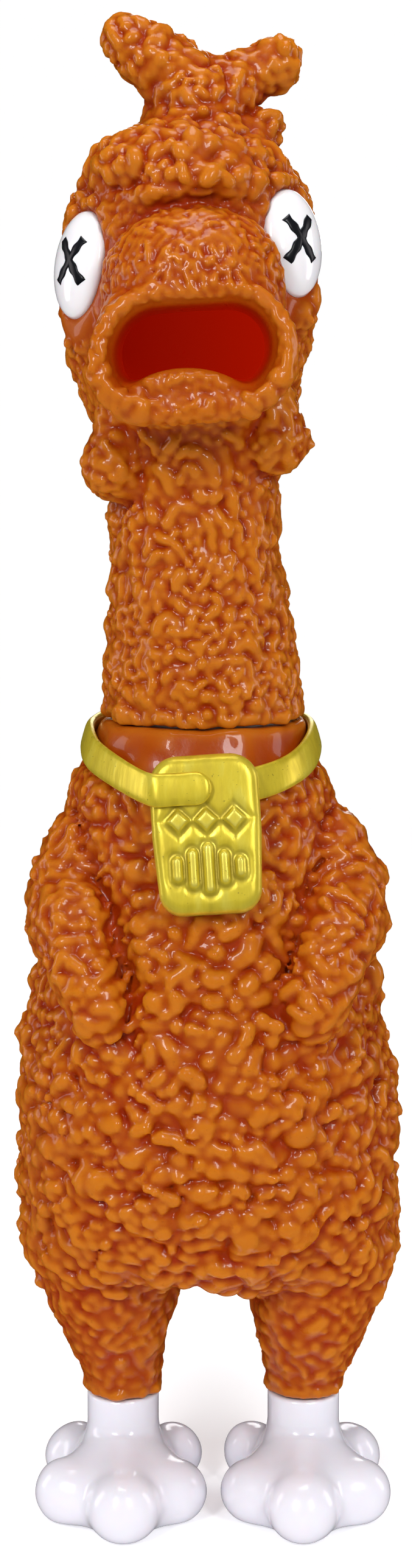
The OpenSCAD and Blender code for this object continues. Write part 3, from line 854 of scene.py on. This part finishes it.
def make_strap():
    """The necklace's band, crowned and soft-edged, with its free end lapped over the tag's face."""
    first, last = STRAP_ENDS
    ring = [strap_station(first + (last - first) * i / 120) for i in range(121)]
    half_w = STRAP_W / 2
    start_x, round_x = -TAG_W / 2 - 1, TONGUE_TIP - half_w
    tongue = [tongue_station(start_x + (round_x - start_x) * i / 16, half_w) for i in range(17)]
    run = np.array(ring[:-4] + tongue)
    for _ in range(6):
        run[1:-1] = (run[:-2] + 2 * run[1:-1] + run[2:]) / 4
    turns = np.linspace(0.15, 1.5, 9)
    tip = [tongue_station(round_x + half_w * math.sin(t), half_w * math.cos(t)) for t in turns]
    run = np.vstack([run, tip])
    sides = 20
    points, faces = [], []
    for n, row in enumerate(run):
        place, out, up = row[:3], unit(row[3:6]), unit(row[6:9])
        thick = (STRAP_T / 2 + 0.15) * min(1, 0.35 + row[9] / half_w) * (1 + 0.06 * math.sin(n * 0.7))
        wide = row[9] * (1 + 0.015 * math.sin(n * 0.43))
        for k in range(sides):
            a = 2 * math.pi * k / sides
            c, s = math.cos(a), math.sin(a)
            across = wide * math.copysign(abs(c) ** 0.6, c)
            lift = thick * math.copysign(abs(s) ** 0.8, s)
            points.append(place + up * across + out * lift)
    for n in range(len(run) - 1):
        for k in range(sides):
            m, a, b = (k + 1) % sides, n * sides, (n + 1) * sides
            faces.append((a + k, a + m, b + m, b + k))
    faces.append(tuple(range(sides))[::-1])
    faces.append(tuple(range((len(run) - 1) * sides, len(run) * sides)))
    return new_object("strap_band", (np.array(points) * MM).tolist(), faces)


# ---------- Materials ----------


class Nodes:
    """A material's node tree, with short ways to add and link nodes."""

    def __init__(self, name):
        self.material = bpy.data.materials.new(name)
        self.material.use_nodes = True
        self.tree = self.material.node_tree
        self.shader = self.tree.nodes["Principled BSDF"]

    def add(self, kind, **settings):
        node = self.tree.nodes.new("ShaderNode" + kind)
        for key, value in settings.items():
            if hasattr(node, key):
                setattr(node, key, value)
            else:
                self.put(value, node.inputs[key.replace("_", " ").title()])
        return node

    def put(self, value, socket):
        if hasattr(value, "is_linked"):
            self.tree.links.new(value, socket)
        else:
            socket.default_value = value

    def attribute(self, name):
        return self.add("Attribute", attribute_name=name).outputs["Fac"]

    def noise(self, scale, detail=3.0, rough=0.55, stretch=(1, 1, 1)):
        coords = self.add("TexCoord").outputs["Object"]
        mapping = self.add("Mapping")
        self.put(coords, mapping.inputs["Vector"])
        mapping.inputs["Scale"].default_value = stretch
        node = self.add("TexNoise", Scale=scale, Detail=detail, Roughness=rough)
        self.put(mapping.outputs[0], node.inputs["Vector"])
        return node.outputs["Fac"]

    def ramp(self, value, stops):
        node = self.add("ValToRGB")
        items = node.color_ramp.elements
        while len(items) < len(stops):
            items.new(0.5)
        for item, (at, colour) in zip(items, stops):
            item.position = at
            item.color = (*colour, 1) if len(colour) == 3 else colour
        self.put(value, node.inputs["Fac"])
        return node.outputs["Color"]

    def scaled(self, value, low, high, to_low=0.0, to_high=1.0):
        node = self.add("MapRange")
        self.put(value, node.inputs["Value"])
        for key, number in (("From Min", low), ("From Max", high), ("To Min", to_low), ("To Max", to_high)):
            node.inputs[key].default_value = number
        return node.outputs["Result"]

    def mix(self, factor, a, b, blend="MIX"):
        node = self.add("Mix", data_type="RGBA", blend_type=blend)
        self.put(factor, node.inputs["Factor"])
        self.put(a if hasattr(a, "is_linked") else (*a, 1), node.inputs[6])
        self.put(b if hasattr(b, "is_linked") else (*b, 1), node.inputs[7])
        return node.outputs[2]

    def bump(self, height, strength, distance):
        node = self.add("Bump", Strength=strength, Distance=distance)
        self.put(height, node.inputs["Height"])
        self.put(node.outputs[0], self.shader.inputs["Normal"])

    def set(self, **values):
        for key, value in values.items():
            self.put(value, self.shader.inputs[key.replace("_", " ")])


# Colour ramps: vinyl from peak to crease, which paints light on the peaks and shade in the creases; vinyl from
# the lips into the mouth, which paints shade and a through-lit red deeper in; and gold along its brush streaks.
VINYL_STOPS = [(0.12, (0.52, 0.155, 0.006)), (0.42, (0.38, 0.068, 0.001)), (0.75, (0.3, 0.02, 0.0002))]
MOUTH_STOPS = [(0.1, (0.46, 0.085, 0.002)), (0.5, (0.38, 0.03, 0.0)), (1.0, (0.4, 0.011, 0.0))]
GOLD_STOPS = [(0.25, (0.52, 0.39, 0.016)), (0.55, (0.74, 0.58, 0.034)), (0.8, (0.9, 0.78, 0.12))]


def vinyl_material(name, with_mouth):
    """Waxy orange vinyl with painted light and shade: red in the creases and darker where the surface lies low,
    golden on the peaks.
    """
    n = Nodes(name)
    # Painted light and shade: golden where the vinyl stands out, deep red down in the creases.
    hollow = n.scaled(n.attribute("hollow"), -1.0, 1.0)
    base = n.ramp(hollow, VINYL_STOPS)
    patch = n.scaled(n.noise(45, 2), 0.38, 0.7)
    base = n.mix(n.scaled(patch, 0, 1, 0.0, 0.35), base, (0.42, 0.1, 0.004))
    # Painted shade: darker red where the surface lies below its smooth form, down between the lumps.
    low = n.scaled(n.attribute("rise"), -0.2, 1.1, 0.35, 0.0)
    base = n.mix(low, base, (0.3, 0.022, 0.0002))
    speck = n.scaled(n.noise(900, 2), 0.66, 0.74, 0.0, 0.25)
    base = n.mix(speck, base, (0.2, 0.03, 0.002))
    if with_mouth:
        # Painted shade deeper in the mouth, reddened as if lit through the thin vinyl walls.
        mouth = n.attribute("mouth")
        base = n.mix(n.scaled(mouth, 0.02, 0.3), base, n.ramp(mouth, MOUTH_STOPS))
        # Painted glow: emission that stands in for light coming through the vinyl into the mouth.
        glow = n.mix(n.attribute("glow"), (0.0, 0.0, 0.0), (0.36, 0.007, 0.0))
        n.set(Emission_Color=glow, Emission_Strength=1.0)
    n.set(Base_Color=base, Roughness=n.scaled(n.noise(160, 3), 0.3, 0.7, 0.26, 0.4), Specular_IOR_Level=0.15)
    n.set(Subsurface_Weight=0.3, Subsurface_Scale=0.0018, Coat_Weight=0.28, Coat_Roughness=0.03)
    n.shader.inputs["Subsurface Radius"].default_value = (1.0, 0.3, 0.08)
    n.bump(n.noise(700, 3), 0.2, 0.0004)
    return n.material


def white_material(name, colour, rough):
    n = Nodes(name)
    tint = n.mix(n.scaled(n.noise(60, 3), 0.4, 0.75, 0, 0.6), colour, tuple(c * 0.92 for c in colour))
    # Painted shade: greyer and darker in the creases.
    hollow = n.scaled(n.attribute("hollow"), 0.1, 1.1, 0, 0.5)
    tint = n.mix(hollow, tint, (0.55, 0.5, 0.58))
    n.set(Base_Color=tint, Roughness=rough, Subsurface_Weight=0.15, Subsurface_Scale=0.0015)
    n.set(Coat_Weight=0.4, Coat_Roughness=0.06)
    n.bump(n.noise(230, 2), 0.12, 0.0005)
    return n.material


def black_material():
    n = Nodes("black_paint")
    n.set(Base_Color=n.mix(n.noise(400, 2), (0.003, 0.0035, 0.005), (0.008, 0.009, 0.012)), Roughness=0.3)
    n.set(Specular_IOR_Level=0.25)
    n.bump(n.noise(700, 2, stretch=(1, 1, 0.25)), 0.3, 0.0002)
    return n.material


def gold_material():
    """Greenish gold paint: brushed along, darkened by painted shade in the hollows and paled by a painted
    highlight on the edges.
    """
    n = Nodes("gold_paint")
    streak = n.noise(380, 4, stretch=(1, 1, 0.14))
    colour = n.ramp(streak, GOLD_STOPS)
    cloud = n.scaled(n.noise(90, 3), 0.42, 0.7, 0, 0.5)
    colour = n.mix(cloud, colour, (0.62, 0.52, 0.04))
    hollow = n.attribute("hollow")
    # Painted shade: darker in the hollows.
    colour = n.mix(n.scaled(hollow, 0.06, 0.7, 0, 0.75), colour, (0.2, 0.14, 0.004))
    # Painted highlight: paler on the edges that stand out.
    colour = n.mix(n.scaled(hollow, -0.35, -1.3, 0, 0.6), colour, (0.86, 0.8, 0.2))
    speck = n.scaled(n.noise(1300, 2), 0.69, 0.75, 0.0, 0.7)
    colour = n.mix(speck, colour, (0.12, 0.09, 0.01))
    n.set(Base_Color=colour, Metallic=0.45, Roughness=n.scaled(streak, 0.3, 0.7, 0.4, 0.28))
    n.bump(streak, 0.3, 0.0003)
    return n.material


def plastic_material(name, colour, rough):
    n = Nodes(name)
    n.set(Base_Color=n.mix(n.noise(120, 2), colour, tuple(c * 0.86 for c in colour)), Roughness=rough)
    n.bump(n.noise(1500, 2), 0.1, 0.0002)
    return n.material


def dress(piece, material):
    piece.data.materials.clear()
    piece.data.materials.append(material)


# ---------- Assembly ----------


def add_piece(piece, body, slot, material, *replaced):
    dress(piece, material)
    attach(piece, body)
    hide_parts(*replaced)


add_piece(make_body(), "body", "crust_vinyl", vinyl_material("crust_body", False), "body_shell")
add_piece(make_head(), "head", "crust_vinyl", vinyl_material("crust_head", True), "head_shell")
foot_white = white_material("foot_white", (0.79, 0.78, 0.85), 0.22)
eye_white = white_material("eye_white", (0.86, 0.85, 0.87), 0.14)
black = black_material()
for side, label, place in ((-1, "left", LEFT_EYE), (1, "right", RIGHT_EYE)):
    foot = make_foot(f"{label}_foot_skin", side)
    add_piece(foot, "body", "foot_white", foot_white, f"{label}_foot")
    dome = make_eye(f"{label}_eye_dome", place, side)
    add_piece(dome, "head", "eye_white", eye_white, f"{label}_eye")
    strokes = make_cross(f"{label}_eye_strokes", place, side)
    add_piece(strokes, "head", "eye_cross_paint", black, f"{label}_eye_cross")

gold = gold_material()
add_piece(make_strap(), "body", "gold_paint", gold, "necklace_strap")
add_piece(make_tag(), "body", "gold_paint", gold, "tag")
whistle = plastic_material("whistle_plastic", (0.66, 0.66, 0.62), 0.45)
film = plastic_material("reed_film", (0.75, 0.8, 0.82), 0.3)
for node in ("whistle_plug", "reed_trough", "reed_wedge", "reed"):
    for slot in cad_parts[node].material_slots:
        slot.link = "OBJECT"
        slot.material = film if node == "reed" else whistle


# ---------- Stage, in metres ----------

AIM = Vector((0, 0, 0.15))
FLOOR_R = 0.9
FLOOR_SIDES = 96
BACKDROP_R = 4.0
CAMERA_PLACE = (0, -0.52, 0.23)
CAMERA_TILT = math.radians(90 - 8.7)
CAMERA_LENS = 59.9


def area_light(name, place, size, power, colour=(1, 1, 1)):
    """A softbox aimed at the middle of the object."""
    data = bpy.data.lights.new(name, "AREA")
    data.shape, data.energy, data.color = "RECTANGLE", power, colour
    data.size, data.size_y = size
    lamp = bpy.data.objects.new(name, data)
    lamp.location = place
    lamp.rotation_euler = (AIM - lamp.location).to_track_quat("-Z", "Y").to_euler()
    bpy.context.scene.collection.objects.link(lamp)


def make_floor():
    """A white disc that catches the shadows and fades out towards its rim."""
    turns = [2 * math.pi * k / FLOOR_SIDES for k in range(FLOOR_SIDES)]
    rim = [(FLOOR_R * math.cos(a), FLOOR_R * math.sin(a), 0) for a in turns]
    floor = new_object("floor", rim, [tuple(range(FLOOR_SIDES))], False)
    n = Nodes("floor_white")
    n.set(Base_Color=n.mix(n.noise(3, 2), (0.9, 0.9, 0.91), (0.93, 0.93, 0.94)), Roughness=0.7)
    n.set(Emission_Color=(1, 1, 1, 1), Emission_Strength=0.3, Specular_IOR_Level=0.1)
    distance = n.add("VectorMath", operation="LENGTH")
    n.put(n.add("TexCoord").outputs["Object"], distance.inputs[0])
    n.set(Alpha=n.scaled(distance.outputs["Value"], 0.12, FLOOR_R, 1, 0))
    dress(floor, n.material)
    floor.visible_glossy = False


def make_backdrop():
    """A white shell all round, seen by the camera only."""
    turns, rings = 48, 24
    points = []
    for i in range(rings + 1):
        tilt = math.pi * (i / rings - 0.5)
        for k in range(turns):
            a = 2 * math.pi * k / turns
            ring = BACKDROP_R * math.cos(tilt)
            points.append((ring * math.cos(a), ring * math.sin(a), BACKDROP_R * math.sin(tilt)))
    faces = []
    for i in range(rings):
        for k in range(turns):
            m = (k + 1) % turns
            faces.append((i * turns + k, i * turns + m, (i + 1) * turns + m, (i + 1) * turns + k))
    shell = new_object("backdrop", points, faces)
    n = Nodes("backdrop_white")
    n.set(Base_Color=(0, 0, 0, 1), Emission_Color=(1, 1, 1, 1), Emission_Strength=1.0)
    dress(shell, n.material)
    shell.visible_diffuse = shell.visible_glossy = shell.visible_transmission = shell.visible_shadow = False


def make_stage():
    make_floor()
    make_backdrop()
    world = bpy.data.worlds.new("studio")
    bpy.context.scene.world = world
    world.use_nodes = True
    sky = world.node_tree.nodes["Background"]
    sky.inputs["Color"].default_value = (1.0, 0.98, 1.0, 1)
    sky.inputs["Strength"].default_value = 0.3
    world.cycles_visibility.glossy = False
    area_light("key", (-0.4, -0.78, 0.62), (0.14, 0.4), 4.4)
    area_light("fill", (0.4, -0.76, 0.6), (0.14, 0.4), 3.4)
    area_light("top", (0, -0.05, 0.95), (0.4, 0.4), 2.6)
    area_light("back", (0.1, 0.95, 0.5), (0.4, 0.4), 1.8)
    area_light("left_side", (-0.9, 0.1, 0.3), (0.25, 0.6), 1.6, (1, 0.94, 0.97))
    area_light("right_side", (0.9, 0.1, 0.3), (0.25, 0.6), 1.6, (1, 0.94, 0.97))


def make_camera():
    data = bpy.data.cameras.new("camera")
    data.sensor_width = 36
    data.lens = CAMERA_LENS
    data.clip_start, data.clip_end = 0.01, 20
    camera = bpy.data.objects.new("camera", data)
    camera.location = CAMERA_PLACE
    camera.rotation_euler = (CAMERA_TILT, 0, 0)
    bpy.context.scene.collection.objects.link(camera)
    bpy.context.scene.camera = camera


make_stage()
make_camera()
bpy.context.scene.view_settings.view_transform = "Standard"
